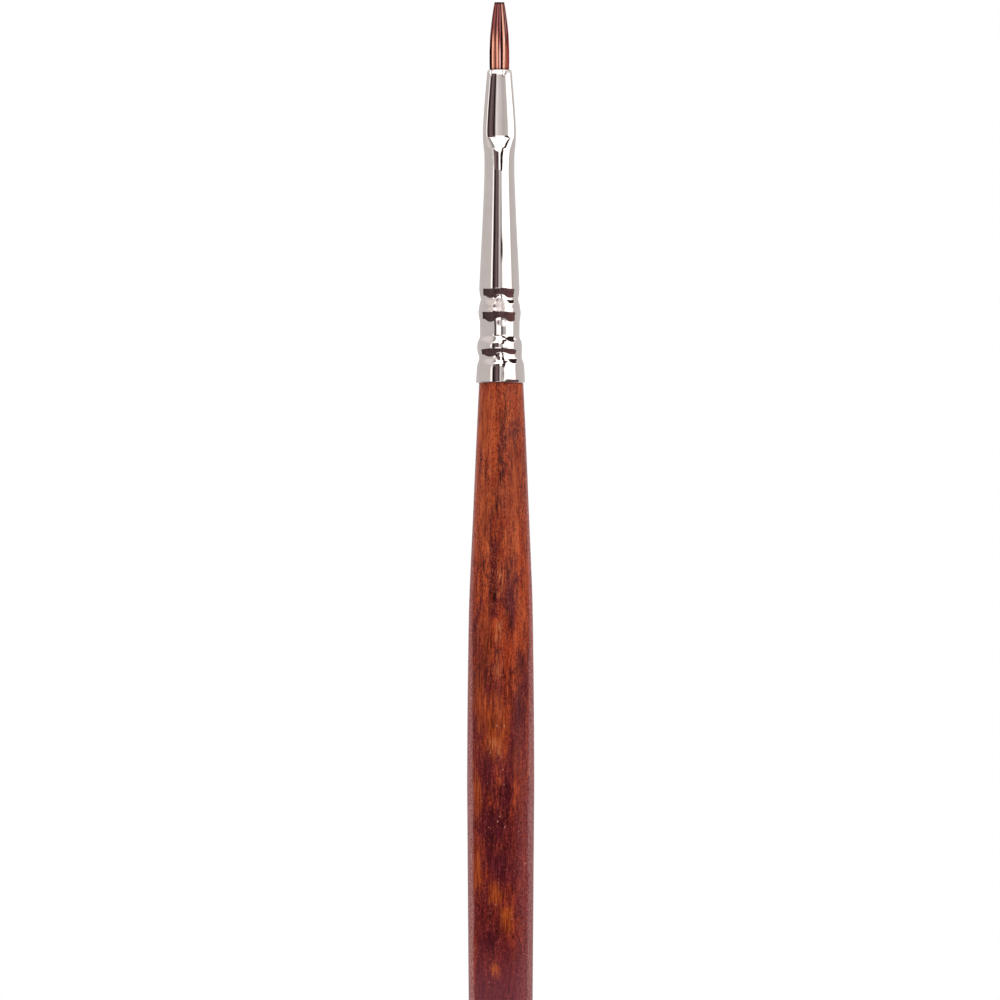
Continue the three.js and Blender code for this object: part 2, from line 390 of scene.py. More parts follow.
def flat_faces(angle, strength):
    """Outline of a round-cornered hexagon; the ridges stand at 1. Strength 0 is a circle."""
    from_face = HALF_JAW - np.abs(from_ridge(angle))
    inner = 1 / ridge_ratio(strength)  # middle of a face
    rounding = inner * (1 - strength)  # radius of the ridges' rounding
    centre_x, centre_y = inner - rounding, (inner - rounding) * math.tan(HALF_JAW)
    cos, sin = np.cos(from_face), np.sin(from_face)
    dot = cos * centre_x + sin * centre_y
    inside = dot * dot - centre_x * centre_x - centre_y * centre_y + rounding * rounding
    corner = dot + np.sqrt(np.maximum(inside, 0))
    face = inner / np.maximum(cos, 1e-6)
    return np.where(sin * inner <= centre_y * cos, face, corner)


def smooth_min(a, b, width):
    t = np.clip(0.5 + 0.5 * (b - a) / width, 0, 1)
    return b + (a - b) * t - width * t * (1 - t)


def slope_depth(above):
    return SLOPE_DEEP + (SLOPE_TOP - above) * SLOPE


def ferrule_outer(z, angle):
    """(x, y) of the outside. z and angle broadcast; angle 0 is +X, -90 degrees is the front."""
    z = z + 0 * angle
    angle = angle + 0 * z
    above = z - Z_SKIRT
    # Each ridge runs up into the shoulder above it as a small arch.
    arch = np.exp(-((np.abs(from_ridge(angle)) / 0.30) ** 3.0)) * np.abs(np.sin(angle)) ** 1.5
    uneven = 1 + 0.12 * np.sin(angle * 2 + 1.1)
    lift = sum(hill(above, centre, half) * rise for centre, half, rise in ARCHES)
    z_ridge = z - arch * uneven * lift
    x, y = oval(angle, half_width(z_ridge), half_depth(z_ridge), oval_power(z))
    # The sloping flat where round tube turns into flat tube.
    deep = np.abs(y)
    cut = smooth_min(deep, np.maximum(slope_depth(above), 0.2), width=0.022)
    on_slope = (above > SLOPE_LOW) & (above < SLOPE_TOP)
    y = np.where(on_slope, np.minimum(cut, deep), deep) * np.sign(np.sin(angle))
    size = np.hypot(x, y)
    dent = wobble(angle, above, 0.0045, seed=11, waves=5, per_mm=2.4)
    dent = dent * smoothstep(10.5, 8.5, above)
    dent = dent + wobble(angle, above, 0.0014, seed=12, waves=3, per_mm=0.5)
    # The trimmed lower edge is turned in a little, on the right.
    dent = dent - 0.034 * smoothstep(0.42, 0.0, above) * smoothstep(0.0, 0.35, x / size)
    # Two small creases where the tube was squeezed on to the hair.
    for crease_x, depth in CREASES:
        crease = np.exp(-(((x - crease_x) / CREASE_WIDTH) ** 2))
        dent = dent - depth * crease * smoothstep(31.8, 32.2, above)
    # The widths in the table are those seen from the front.
    faces = face_strength(z_ridge)
    grow = flat_faces(angle, faces) / flat_faces(0.0, faces) ** 0.85 * (size + dent) / size
    swell = 0.009 * smoothstep(30.0, 26.0, above)
    grow = grow * (1 + swell + 0.007 * smoothstep(9.5, 7.5, above))
    return x * grow + ferrule_shift(z), y * grow


def ferrule_outside(angle):
    """Rings of the skirt edge, trimmed square with a small round, then of the outside."""
    shift = float(ferrule_shift(Z_SKIRT))
    x, y = ferrule_outer(np.array(Z_SKIRT + 0.10), angle)
    radius = np.hypot(x - shift, y)
    rings = []
    for inset, rise in ((0.055, 0.0), (0.02, 0.015), (0.005, 0.05)):
        shrunk = radius - inset
        rings.append(
            ring_at(shift + (x - shift) * shrunk / radius, y * shrunk / radius, Z_SKIRT + rise)
        )
    # Close rings over the crimps, the pinch and the mouth.
    heights = np.concatenate([
        np.arange(Z_SKIRT + 0.10, Z_SKIRT + 10.3, 0.05),
        np.arange(Z_SKIRT + 10.4, Z_SKIRT + 22.0, 0.24),
        np.arange(Z_SKIRT + 22.1, Z_SKIRT + 26.6, 0.05),
        np.arange(Z_SKIRT + 26.7, Z_MOUTH - 0.75, 0.2),
        np.arange(Z_MOUTH - 0.74, Z_MOUTH - 0.46, 0.05),
    ])  # fmt: skip
    for z in heights:
        rings.append(ring_at(*ferrule_outer(np.array(z), angle), z))
    return rings


def ferrule_mouth(angle):
    """Rings of the mouth's edge, which is rolled in over a small radius."""
    width, depth = float(half_width(Z_ROLL)), float(half_depth(Z_ROLL))
    plain_radius = np.hypot(*oval(angle, width, depth, ROLL_POWER))
    # Creases and ripples carry on over the edge.
    pressed = np.hypot(*ferrule_outer(np.array(Z_ROLL), angle)) - plain_radius
    rings = []
    for t in np.linspace(0.12, 1.0, 9):
        cos, sin = math.cos(t * math.pi / 2), math.sin(t * math.pi / 2)
        inset = 0.085 * (1 - cos) + 0.055 * sin
        x, y = oval(angle, width - inset, depth - inset, ROLL_POWER)
        grow = 1 + pressed * cos / plain_radius
        z = Z_ROLL + (Z_MOUTH - Z_ROLL) * sin + 0.4 * pressed * sin
        rings.append(ring_at(x * grow, y * grow, z))
    for t in np.linspace(0.15, 1.0, 6):
        cos, sin = math.cos(t * math.pi / 2), math.sin(t * math.pi / 2)
        inset = 0.14 + 0.1 * sin
        x, y = oval(angle, width - inset, depth - inset, ROLL_POWER)
        rings.append(ring_at(x, y, Z_MOUTH - 0.16 * (1 - cos)))
    return rings


def ferrule_inside(angle):
    """Rings one wall in from the outside, from the mouth down."""
    heights = np.concatenate([
        np.arange(Z_MOUTH - 0.5, Z_SKIRT + 21.5, -0.4),
        np.arange(Z_SKIRT + 21.3, Z_SKIRT + 10.4, -0.9),
        np.arange(Z_SKIRT + 10.2, Z_SKIRT + 0.3, -0.2),
    ])  # fmt: skip
    rings = []
    for z in heights:
        inner = 1 / ridge_ratio(float(face_strength(z)))
        width = float(half_width(z)) * inner - WALL
        depth = float(half_depth(z)) * inner - WALL
        if SLOPE_LOW < z - Z_SKIRT < SLOPE_TOP:
            depth = min(depth, max(0.3, slope_depth(z - Z_SKIRT) - WALL))
        x, y = oval(angle, width, depth, float(oval_power(z)))
        rings.append(ring_at(float(ferrule_shift(z)) + x, y, z))
    shift = float(ferrule_shift(Z_SKIRT))
    for radius, rise in ((SKIRT_BORE, 0.05), (SKIRT_BORE + 0.03, 0.0)):
        rings.append(
            ring_at(shift + radius * np.cos(angle), radius * np.sin(angle), Z_SKIRT + rise)
        )
    return rings


def build_ferrule(material):
    angle = full_turn(FERRULE_SIDES)
    rings = ferrule_outside(angle) + ferrule_mouth(angle) + ferrule_inside(angle)
    shell = rings_to_mesh("ferrule_shell", rings, closed=True)
    fix_to_grip(shell, "ferrule", material)


# ---------------------------------------------------------------------- handle
# Height, radius.
HANDLE_PROFILE = np.array([
    [0.0, 1.15], [0.05, 1.36], [0.16, 1.56], [0.36, 1.76], [0.7, 1.93], [1.2, 2.07],
    [2.0, 2.165], [3.5, 2.23], [6.0, 2.278], [12.0, 2.36], [25.0, 2.57], [45.0, 2.87],
    [65.0, 3.11], [86.3, 3.286], [98.0, 3.376], [104.0, 3.42], [109.1, 3.450], [113.2, 3.436],
    [117.4, 3.408], [121.6, 3.358], [125.7, 3.300], [128.4, 3.232], [132.0, 3.082],
    [136.1, 2.902], [140.3, 2.724], [144.4, 2.545], [148.6, 2.345], [150.27, 2.262],
])  # fmt: skip
# Heights of the closer rings at the end of the handle.
HANDLE_END = [0.0, 0.02, 0.05, 0.1, 0.16, 0.25, 0.36, 0.52, 0.7, 0.95, 1.2, 1.6, 2.0, 2.7]
HANDLE_SIDES = 160
END_RADIUS = 1.10  # of the flat middle of the end
handle_radius = monotone(HANDLE_PROFILE[:, 0], HANDLE_PROFILE[:, 1])


def build_handle(material):
    angle = full_turn(HANDLE_SIDES)
    cos, sin = np.cos(angle), np.sin(angle)
    top = Z_SKIRT - 0.11  # just clear of the skirt edge
    rings = [ring_at(END_RADIUS * cos + float(handle_shift(0.0)), END_RADIUS * sin, 0.0)]
    for z in np.concatenate([HANDLE_END, np.arange(3.5, top - 0.3, 0.55), [top]]):
        # A turned handle is never perfectly round; the lacquer adds a soft orange peel.
        ripple = (
            wobble(angle, z, 0.006, seed=21, waves=3, per_mm=0.16)
            + wobble(angle, z, 0.0022, seed=22, waves=9, per_mm=1.7)
        ) * smoothstep(1.0, 6.0, z)
        radius = float(handle_radius(z)) + 0.04 * float(smoothstep(2.0, 8.0, z)) + ripple
        rings.append(ring_at(radius * cos + float(handle_shift(z)), radius * sin, z))
    # Tenon, which takes the shape of the crimps that hold it.
    for z in np.arange(Z_SKIRT + 0.05, Z_TENON - 0.4, 0.15):
        radius = float(half_width(z)) / ridge_ratio(float(face_strength(z))) - WALL - 0.045
        rings.append(ring_at(radius * cos + float(ferrule_shift(z)), radius * sin, z))
    tenon_radius = float(half_width(Z_TENON)) - WALL - 0.06
    for inset, rise in ((0.02, -0.3), (0.1, -0.12), (0.28, 0.0)):
        radius = tenon_radius - inset
        rings.append(ring_at(radius * cos, radius * sin, Z_TENON + rise))
    turned = rings_to_mesh("handle_turned", rings)
    fix_to_grip(turned, "handle", material)


# ------------------------------------------------------------------- hair tuft
# Height above the mouth, half width, half depth.
TUFT_OUTLINE = np.array([
    [-1.20, 1.000, 0.440], [0.00, 1.012, 0.458], [0.90, 1.032, 0.466], [1.80, 1.030, 0.455],
    [2.60, 0.998, 0.432], [3.30, 0.975, 0.400], [4.10, 0.915, 0.350], [5.00, 0.820, 0.280],
    [5.70, 0.728, 0.215], [6.30, 0.640, 0.165], [6.75, 0.558, 0.125], [7.07, 0.498, 0.100],
])  # fmt: skip
tuft_width = monotone(TUFT_OUTLINE[:, 0] + Z_MOUTH, TUFT_OUTLINE[:, 1])
tuft_depth = monotone(TUFT_OUTLINE[:, 0] + Z_MOUTH, TUFT_OUTLINE[:, 2])
# Where the front locks part, from -1 on the left to 1. Some locks are fuller than others.
SPANS = [
    (-1.0, -0.84), (-0.81, -0.46), (-0.43, -0.10), (-0.07, 0.17), (0.30, 0.66), (0.69, 0.87),
    (0.90, 1.0),
]  # fmt: skip
ACROSS = len(SPANS)
SPLIT_HEEL = Z_SWAY + 0.80  # cuts lie where the hair moves with one body only
SPLIT_BELLY = Z_BEND + 0.95
# Part, lower end, upper end (None: each strand's own), rings to a strand, the bodies below
# and above its joint, height of the joint, half the height of the blend between them.
TUFT_PARTS = [
    ("heel", Z_MOUTH - 1.1, SPLIT_HEEL, 9, "grip", "tuft_heel", Z_SWAY, 0.72),
    ("belly", SPLIT_HEEL, SPLIT_BELLY, 9, "tuft_heel", "tuft_belly", Z_BEND, 0.70),
    ("toe", SPLIT_BELLY, None, 20, "tuft_belly", "tuft_toe", Z_TIP_BEND, 1.1),
]
HAIR_SIDES = 7
HAIR_RADIUS = 0.036
STRANDS_EACH_WAY = 5
TUFT_SEED = 4711
BUNDLE_TONES = [0.05, 0.35, 0.62, 0.85, 1.0]

# across: 0 to 1 over the lock. deep: 0 at the tuft's middle plane, 1 outside.
Strand = namedtuple("Strand", "across deep phase thickness reach")


def lock_strands(random):
    each = STRANDS_EACH_WAY
    return [
        Strand(
            (i + 0.5 + random.uniform(-0.32, 0.32)) / each,
            (j + 0.5 + random.uniform(-0.3, 0.3)) / each,
            random.uniform(0, 6.28),
            random.uniform(0.85, 1.15),
            random.uniform(0, 1),
        )
        for j in range(each)
        for i in range(each)
    ]


def mirrored(row, col):
    """Place of a lock counted from the left; the back row is numbered from the right."""
    return col if row == 0 else ACROSS - 1 - col


def up_tuft(z):
    """0 at the mouth, 1 at the tip."""
    return np.clip((z - Z_MOUTH) / (Z_TIP - Z_MOUTH), 0, 1)


def strand_path(row, col, strand, z):
    """Centre line of a strand (x, y) at heights z. Row 0 is the front."""
    up = up_tuft(z)
    # A lock draws together a little towards the tip.
    gather = 1 - 0.10 * smoothstep(0.25, 0.9, up)
    across = 0.5 + (strand.across - 0.5) * gather * 0.94
    across = across + 0.03 * np.sin(strand.phase + 5.0 * up) * smoothstep(0, 0.3, up)
    low, high = SPANS[mirrored(row, col)]
    if row == 1:
        low, high = -high, -low
    # Locks wander a little along their length.
    drift = 0.018 * np.sin(1.7 * col + 4.2 * up + 0.6 * row) * smoothstep(0.05, 0.5, up)
    place = low + (high - low) * across
    place = np.clip(place + drift * (1 - np.abs(place) ** 4), -0.965, 0.965)
    # The tuft thins towards its sides, and every lock stands out as a round bundle.
    thin = (1 - np.abs(place) ** 3.2) ** (1 / 2.4)
    from_crest = 2 * across - 1
    proud = 0.70 + 0.30 * np.sqrt(np.clip(1 - from_crest * from_crest * 0.96, 0, 1))
    proud = 1 - (1 - proud) * (1 - 0.45 * smoothstep(0.45, 1.0, up))
    outer = tuft_depth(z) * np.maximum(thin, 0.22) * proud - 0.028
    side = -1.0 if row == 0 else 1.0
    y = side * (0.02 + np.maximum(outer - 0.02, 0.02) * strand.deep)
    y = y + side * 0.010 * np.sin(strand.phase * 1.7 + 7.0 * up) * strand.deep
    return tuft_width(z) * place, y


def strand_vertices(row, col, strand, z):
    x, y = strand_path(row, col, strand, z)
    radius = HAIR_RADIUS * strand.thickness * (1 - 0.55 * smoothstep(0.35, 1.05, up_tuft(z)))
    # Strands at the very edge stay inside the tuft's outline.
    radius = np.minimum(radius, np.maximum(tuft_width(z) - np.abs(x), 0.012))
    dz = np.gradient(z)
    dx, dy = np.gradient(x) / dz, np.gradient(y) / dz
    vertices = []
    for m in range(len(z)):
        tangent = np.array([dx[m], dy[m], 1.0])
        tangent /= np.linalg.norm(tangent)
        right = np.cross([0.0, 1.0, 0.0], tangent)
        right /= np.linalg.norm(right)
        back = np.cross(tangent, right)
        for g in range(HAIR_SIDES):
            angle = 2 * math.pi * g / HAIR_SIDES + strand.phase
            point = np.array([x[m], y[m], z[m]]) + radius[m] * (
                math.cos(angle) * right + math.sin(angle) * back
            )
            if m in (0, len(z) - 1):
                point[2] = z[m]  # ends are cut level
            vertices.append(point)
    return vertices


def tube_faces(first, rings):
    """Quads, end triangles and end edges of a tube whose vertices start at index first."""
    sides = HAIR_SIDES
    last = first + (rings - 1) * sides
    quads, triangles, rim = [], [], []
    for low in range(first, last, sides):
        for g in range(sides):
            here, after = low + g, low + (g + 1) % sides
            quads.append((here, after, after + sides, here + sides))
    for g in range(1, sides - 1):
        triangles.append((first, first + g + 1, first + g))
        triangles.append((last, last + g, last + g + 1))
    for end in (first, last):
        rim += [(end + g, end + (g + 1) % sides) for g in range(sides)]
    return quads, triangles, rim


def build_lock_part(name, row, col, strands, tints, spans, rings):
    """One part of a lock; spans holds the lower and upper end of each strand."""
    vertices, quads, triangles, sharp = [], [], [], []
    along, tint, edge = [], [], []
    for strand, strand_tint, (low, high) in zip(strands, tints, spans):
        z = np.linspace(low, high, rings)
        more_quads, more_triangles, rim = tube_faces(len(vertices), rings)
        vertices += strand_vertices(row, col, strand, z)
        quads += more_quads
        triangles += more_triangles
        sharp += rim
        count = rings * HAIR_SIDES
        along += list(np.repeat(up_tuft(z), HAIR_SIDES))
        tint += [strand_tint] * count
        # How much painted shade a strand gets: 0 on a lock's crest,
        # 1 down in the parting or deep in the tuft
        parting = abs(2 * strand.across - 1) ** 2.2 * 0.9
        edge += [min(1.0, parting + max(0.0, 0.75 - strand.deep) * 0.9)] * count
    piece = make_mesh(name, vertices, quads, triangles)
    lock = [mirrored(row, col) / (ACROSS - 1)] * len(vertices)
    for key, values in (("along", along), ("tint", tint), ("edge", edge), ("lock", lock)):
        attribute = piece.data.attributes.new(key, "FLOAT", "POINT")
        attribute.data.foreach_set("value", np.asarray(values, np.float32))
    sharp = {tuple(sorted(pair)) for pair in sharp}
    attribute = piece.data.attributes.new("sharp_edge", "BOOLEAN", "EDGE")
    attribute.data.foreach_set(
        "value", [tuple(sorted(e.vertices)) in sharp for e in piece.data.edges]
    )
    return piece


def build_lock(row, col, random, material):
    number = f"{row * ACROSS + col + 1:02d}"
    strands = lock_strands(random)
    # Finer bundles in a lock, each with its own tone.
    tones = random.permutation(BUNDLE_TONES)
    tints = [
        float(np.clip(tones[k % 5] * 0.75 + 0.25 * (strand.phase / 6.28), 0, 1))
        for k, strand in enumerate(strands)
    ]
    # Cut almost level at the tip.
    ends = [Z_TIP - 0.01 - 0.05 * strand.reach**2 - 0.02 * strand.deep for strand in strands]
    for part, low, high, rings, below, above, joint, half_blend in TUFT_PARTS:
        spans = [(low, end if high is None else high) for end in ends]
        name = f"{part}_hair_{number}"
        piece = build_lock_part(name, row, col, strands, tints, spans, rings)
        piece.data.materials.append(material)
        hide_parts(f"{part}_lock_{number}")
        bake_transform(piece)


def build_tuft(material):
    random = np.random.default_rng(TUFT_SEED)
    for row in range(2):
        for col in range(ACROSS):
            build_lock(row, col, random, material)


# ----------------------------------------------------------- inside the ferrule
KNOT_SIDES, KNOT_RINGS = 168, 70
KNOT_GAP = 0.06  # between the knot and the wall
THREAD_TURNS, THREAD_STEPS, THREAD_SIDES = 3, 150, 12
THREAD_RADIUS = 0.046


def build_knot(material):
    """The root ends of the hair, gathered and set in resin: a ribbed block."""
    low, high = box_heights("hair_root_knot")
    thread_low, thread_high = box_heights("binding_thread")
    angle = full_turn(KNOT_SIDES)
    rings = []
    for z in np.linspace(low, min(high, Z_MOUTH - 0.75), KNOT_RINGS):
        # A groove takes the thread.
        groove = hill(z, (thread_low + thread_high) / 2, (thread_high - thread_low) / 2 + 0.18)
        cut = 0.19 * smoothstep(0.12, 0.32, groove)
        rib = 0.012 * np.abs(np.sin(angle * 42 + 0.4 * np.sin(z * 2.0)))
        width = float(half_width(z)) - WALL - KNOT_GAP - cut - rib
        depth = float(half_depth(z)) - WALL - KNOT_GAP - cut - rib
        rings.append(ring_at(*oval(angle, width, depth, float(oval_power(z))), z))
    block = rings_to_mesh("hair_root_block", rings)
    fix_to_grip(block, "hair_root_knot", material)


def build_thread(material):
    """Three turns of twisted thread round the hair block."""
    low, high = box_heights("binding_thread")
    turn_rise = (high - low) / THREAD_TURNS * 0.62
    count = THREAD_TURNS * THREAD_STEPS
    turn = np.linspace(0, THREAD_TURNS * 2 * math.pi, count)
    z = (low + high) / 2 - THREAD_TURNS / 2 * turn_rise + turn_rise * turn / (2 * math.pi)
    inset = WALL + 0.055 + 0.06
    x, y = oval(turn, half_width(z) - inset, half_depth(z) - inset, oval_power(z))
    path = np.stack([x, y, z], 1)
    tangent = np.gradient(path, axis=0)
    tangent /= np.linalg.norm(tangent, axis=1)[:, None]
    angle = full_turn(THREAD_SIDES)
    rings = []
    for k in range(count):
        out = np.cross(tangent[k], [0, 0, 1.0])
        out /= np.linalg.norm(out)
        up = np.cross(out, tangent[k])
        # Three plies, twisted.
        radius = THREAD_RADIUS * (1 + 0.10 * np.cos(3 * angle + k * 0.35))
        circle = np.cos(angle)[:, None] * up + np.sin(angle)[:, None] * out
        rings.append(path[k] + radius[:, None] * circle)
    wound = rings_to_mesh("binding_thread_wound", rings)
    fix_to_grip(wound, "binding_thread", material)


# ------------------------------------------------------------- nickel material
def nickel_normal(nodes, bumped):
    """Seen from well above or below, the plating keeps to the reflections it has when seen
    level, so that it reads as the same bright metal from every side."""
    up = nodes.split(nodes.add("ShaderNodeNewGeometry").outputs["Incoming"])[2]
    steep = nodes.math("ABSOLUTE", up)
    beyond = nodes.math(
        "MINIMUM",
        nodes.linear(steep, scale=1.2, offset=-0.12),
        nodes.linear(steep, scale=0.75, offset=-0.04),
    )
    lift = nodes.times(nodes.math("MAXIMUM", beyond, 0.0), nodes.math("SIGN", up))
    tilt = nodes.add("ShaderNodeCombineXYZ", {"Z": lift}).outputs[0]
    return nodes.vector("NORMALIZE", nodes.vector("ADD", bumped, tilt))


def nickel_material():
    material, nodes, shader = new_material("nickel_plate_polished")
    coords = nodes.coords()
    # Slight cloudiness of the plating, and fine scratches that run along the tube.
    cloud = nodes.noise(
        coords, detail=3, roughness=0.6, scale=0.8, stretch=(1000, 1000, 1000)
    )
    scratches = nodes.noise(coords, detail=3, roughness=0.6, stretch=(9000, 9000, 700))
    base = nodes.mix(
        nodes.smooth(cloud, start=0.35, end=0.7), (0.70, 0.625, 0.595), (0.665, 0.59, 0.56)
    )
    rough = nodes.linear(scratches, scale=0.035, offset=0.012)
    cloudy = nodes.smooth(cloud, start=0.45, end=0.75)
    rough = nodes.linear(cloudy, scale=0.012, offset=rough)
    # The rolled edge of the mouth has lost its polish on the right.
    x, y, z = nodes.split(coords)
    on_right = nodes.smooth(x, start=0.00056, end=0.00070)
    worn = nodes.smooth(
        z, start=(Z_MOUTH - 0.47) * MM, end=(Z_MOUTH - 0.36) * MM, times=on_right
    )
    rough = nodes.linear(worn, scale=0.34, offset=rough)
    # So has the front of the upper crimp ring.
    away = nodes.ellipse(x, z, centre=(0.15, Z_SKIRT + 8.02), half=(0.58, 0.80))
    on_front = nodes.smooth(y, start=0.0, end=-0.0004)
    scuff = nodes.smooth(away, start=1.15, end=0.75, times=on_front)
    rough = nodes.linear(scuff, scale=0.30, offset=rough)
    bumped = nodes.bump(scratches, strength=0.10, distance=0.000004)
    nodes.put(shader, {
        "Base Color": base,
        "Metallic": 1.0,
        "Roughness": rough,
        "Normal": nickel_normal(nodes, bumped),
    })  # fmt: skip
    return material


# --------------------------------------------------------------- wood material
# Where the figure of the wood lies on the front: x, height, half width, half height, strength.
WOOD_ORANGE = [
    (-1.55, 146.5, 0.75, 3.2, 0.75), (1.6, 140.0, 0.8, 4.5, 0.55), (-1.2, 137.5, 0.9, 3.0, 0.5),
    (-0.5, 114.5, 1.4, 3.4, 0.95), (-1.9, 117.0, 0.7, 3.0, 0.7), (-2.3, 107.5, 0.5, 2.6, 0.7),
    (-2.35, 100.0, 0.45, 2.4, 0.85), (-0.35, 97.6, 0.75, 1.3, 0.95),
    (0.75, 94.7, 0.75, 1.6, 0.95), (-0.4, 89.6, 0.55, 0.9, 0.9), (-1.4, 124.0, 0.8, 3.0, 0.5),
    (1.2, 133.6, 0.7, 1.6, 0.4),
]  # fmt: skip
WOOD_DARK = [
    (-1.2, 110.0, 0.75, 2.2, 0.75), (0.6, 108.0, 0.8, 3.2, 0.80), (-0.5, 104.2, 1.7, 2.0, 0.90),
    (0.2, 100.3, 1.0, 2.2, 0.95), (-1.1, 101.5, 0.7, 1.8, 0.70), (-1.1, 92.4, 1.1, 1.3, 0.85),
    (1.5, 89.0, 1.3, 3.6, 0.80), (-1.9, 88.0, 0.6, 3.0, 0.75), (1.6, 102.0, 0.7, 4.0, 0.55),
    (1.75, 115.0, 0.8, 2.6, 0.55), (0.2, 87.0, 1.2, 1.4, 0.8), (2.3, 121.6, 0.5, 1.4, 0.7),
    (1.3, 127.6, 0.9, 2.6, 0.60), (1.7, 111.2, 0.9, 2.2, 0.50),
]  # fmt: skip
WOOD_KNOTS = [
    (0.05, 141.2, 0.42, 2.2, 0.9), (-0.1, 137.8, 0.3, 1.1, 0.9), (-1.6, 131.4, 0.55, 1.3, 0.9),
    (0.9, 131.0, 0.5, 1.4, 0.7), (-0.55, 128.2, 0.45, 0.9, 0.95),
    (-1.05, 123.4, 0.50, 1.1, 0.95), (0.9, 126.0, 0.4, 1.7, 0.75), (2.3, 121.8, 0.45, 1.1, 0.7),
    (-0.75, 115.2, 0.45, 0.9, 0.8), (0.9, 105.4, 0.45, 1.2, 0.85), (-1.0, 103.0, 0.45, 1.1, 0.75),
    (0.35, 101.0, 0.5, 1.7, 0.75), (-1.3, 135.5, 0.7, 2.0, 0.6), (-1.6, 120.0, 0.7, 2.2, 0.6),
    (1.3, 118.5, 0.6, 2.0, 0.5), (-0.3, 107.0, 1.3, 2.4, 0.6), (0.4, 147.0, 0.5, 2.6, 0.55),
    (-0.5, 94.0, 1.6, 2.0, 0.5),
]  # fmt: skip
# Pale streaks of the figure; the two at 112.3 and 112.9 mm high are also painted highlights.
WOOD_PALE = [
    (0.35, 138.6, 0.28, 1.4, 0.60), (0.45, 134.2, 0.30, 1.0, 0.55), (0.1, 130.3, 0.50, 1.1, 0.75),
    (-0.1, 128.7, 0.42, 0.8, 0.70), (-0.15, 124.6, 0.45, 1.2, 0.60), (-0.8, 112.9, 0.42, 0.9, 0.85),
    (0.0, 112.3, 0.35, 0.8, 0.85), (-0.3, 121.0, 0.5, 1.2, 0.35),
]  # fmt: skip
# Noises in the wood and lacquer: scale across and along the handle, shift, detail, roughness.
GRAINS = {
    "warp": (900, 220, (0, 0, 0), 2, 0.5),
    "streak": (1500, 120, (0.4, 1.3, 0.2), 4, 0.6),
    "fibre": (5200, 520, (0, 0, 0), 4, 0.65),
    "pore": (7200, 1400, (2.0, 0.0, 1.0), 2, 0.5),
    "crowd": (760, 240, (4.2, 0.4, 1.7), 3, 0.6),
    "mottle": (7600, 3800, (0.3, 0.9, 0.1), 2, 0.6),
    "blotch": (430, 150, (3.1, 0.7, 2.2), 3, 0.55),
    "flame": (520, 95, (7.3, 1.9, 0.6), 4, 0.62),
    "ragged": (1900, 330, (0.6, 2.0, 4.0), 4, 0.65),
    "frayed": (5600, 1100, (1.6, 0.3, 2.0), 3, 0.6),
    "strands": (8200, 620, (5.0, 1.0, 0.0), 3, 0.6),
    "speckle": (6000, 4200, (1.3, 2.2, 0.4), 2, 0.65),
    "pinhole": (3600, 2600, (0, 0, 0), 1, 0.5),
    "rim": (700, 260, (1.0, 5.0, 0.0), 3, 0.6),
    "dust": (6400, 4600, (3.0, 0.2, 0.8), 2, 0.6),
    "peel": (1600, 1600, (0, 0, 0), 2, 0.5),
}
WARM_STREAKS = [(0.30, "#7a220c"), (0.43, "#922e12"), (0.55, "#ac431c"), (0.70, "#c25a30")]
DEEP_STREAKS = [(0.28, "#400b13"), (0.45, "#56121c"), (0.58, "#66181d"), (0.74, "#7c261f")]


def wood_ground(nodes, coords, grain, down, fibre):
    """Stain, fibres, pores and mottle all round. Returns the colour and the pore mask."""
    # Slow figure along the grain, bent by a second noise so that it ends in flames.
    warp = grain("warp")
    bend = nodes.add("ShaderNodeCombineXYZ", {"X": warp, "Y": warp, "Z": warp}).outputs[0]
    bend = nodes.scaled(bend, scale=2.2)
    warped = nodes.vector("ADD", nodes.mapping(coords, scale=(620, 620, 120)), bend)
    figure = nodes.noise(warped, detail=4, roughness=0.6)
    streak = grain("streak")
    warm = nodes.ramp(streak, WARM_STREAKS)
    deep = nodes.ramp(streak, DEEP_STREAKS)
    stain = nodes.plus(nodes.times(down, 0.72), nodes.linear(figure, scale=2.6, offset=-1.36))
    colour = nodes.mix(nodes.smooth(stain, start=0.05, end=0.62), warm, deep)
    # Fine fibres, lighter and darker.
    shine = nodes.linear(down, scale=-0.20, offset=0.55)
    light = nodes.smooth(fibre, start=0.50, end=0.68, times=shine)
    colour = nodes.mix(light, colour, nodes.mix(down, "#b45c34", "#a84a34"))
    colour = nodes.mix(
        nodes.smooth(fibre, start=0.47, end=0.33, times=0.70), colour, "#480f09"
    )
    # Pores: short dark dashes along the grain.
    pore = nodes.smooth(grain("pore"), start=0.565, end=0.635)
    crowd = nodes.smooth(grain("crowd"), start=0.40, end=0.60)
    pore = nodes.times(pore, nodes.linear(crowd, scale=0.75, offset=0.25))
    colour = nodes.mix(nodes.times(pore, 0.90), colour, "#2e0607")
    # A fine mottle over everything.
    mottle = grain("mottle")
    paler = nodes.mix(0.42, colour, nodes.mix(down, "#c87444", "#b4523c"))
    colour = nodes.mix(nodes.smooth(mottle, start=0.51, end=0.64, times=0.70), colour, paler)
    colour = nodes.mix(
        nodes.smooth(mottle, start=0.47, end=0.35, times=0.60), colour, "#4c140f"
    )
    return colour, pore


def wood_back(nodes, colour, grain, down, y):
    # Blotches where the stain has pooled, more of them lower down.
    back = nodes.smooth(y, start=-0.0008, end=0.0006)
    much = nodes.linear(down, scale=0.62, offset=0.10)
    blotch = nodes.smooth(grain("blotch"), start=0.50, end=0.66, times=much)
    colour = nodes.mix(nodes.times(back, blotch), colour, "#420f16")
    # Flames of bare orange wood between the blotches low on the handle.
    much = nodes.linear(down, scale=0.45, offset=0.30)
    flame = nodes.smooth(grain("flame"), start=0.57, end=0.66, times=much)
    mask = nodes.times(nodes.linear(back, scale=0.75, offset=0.25), flame)
    return nodes.mix(mask, colour, "#a84a1e")


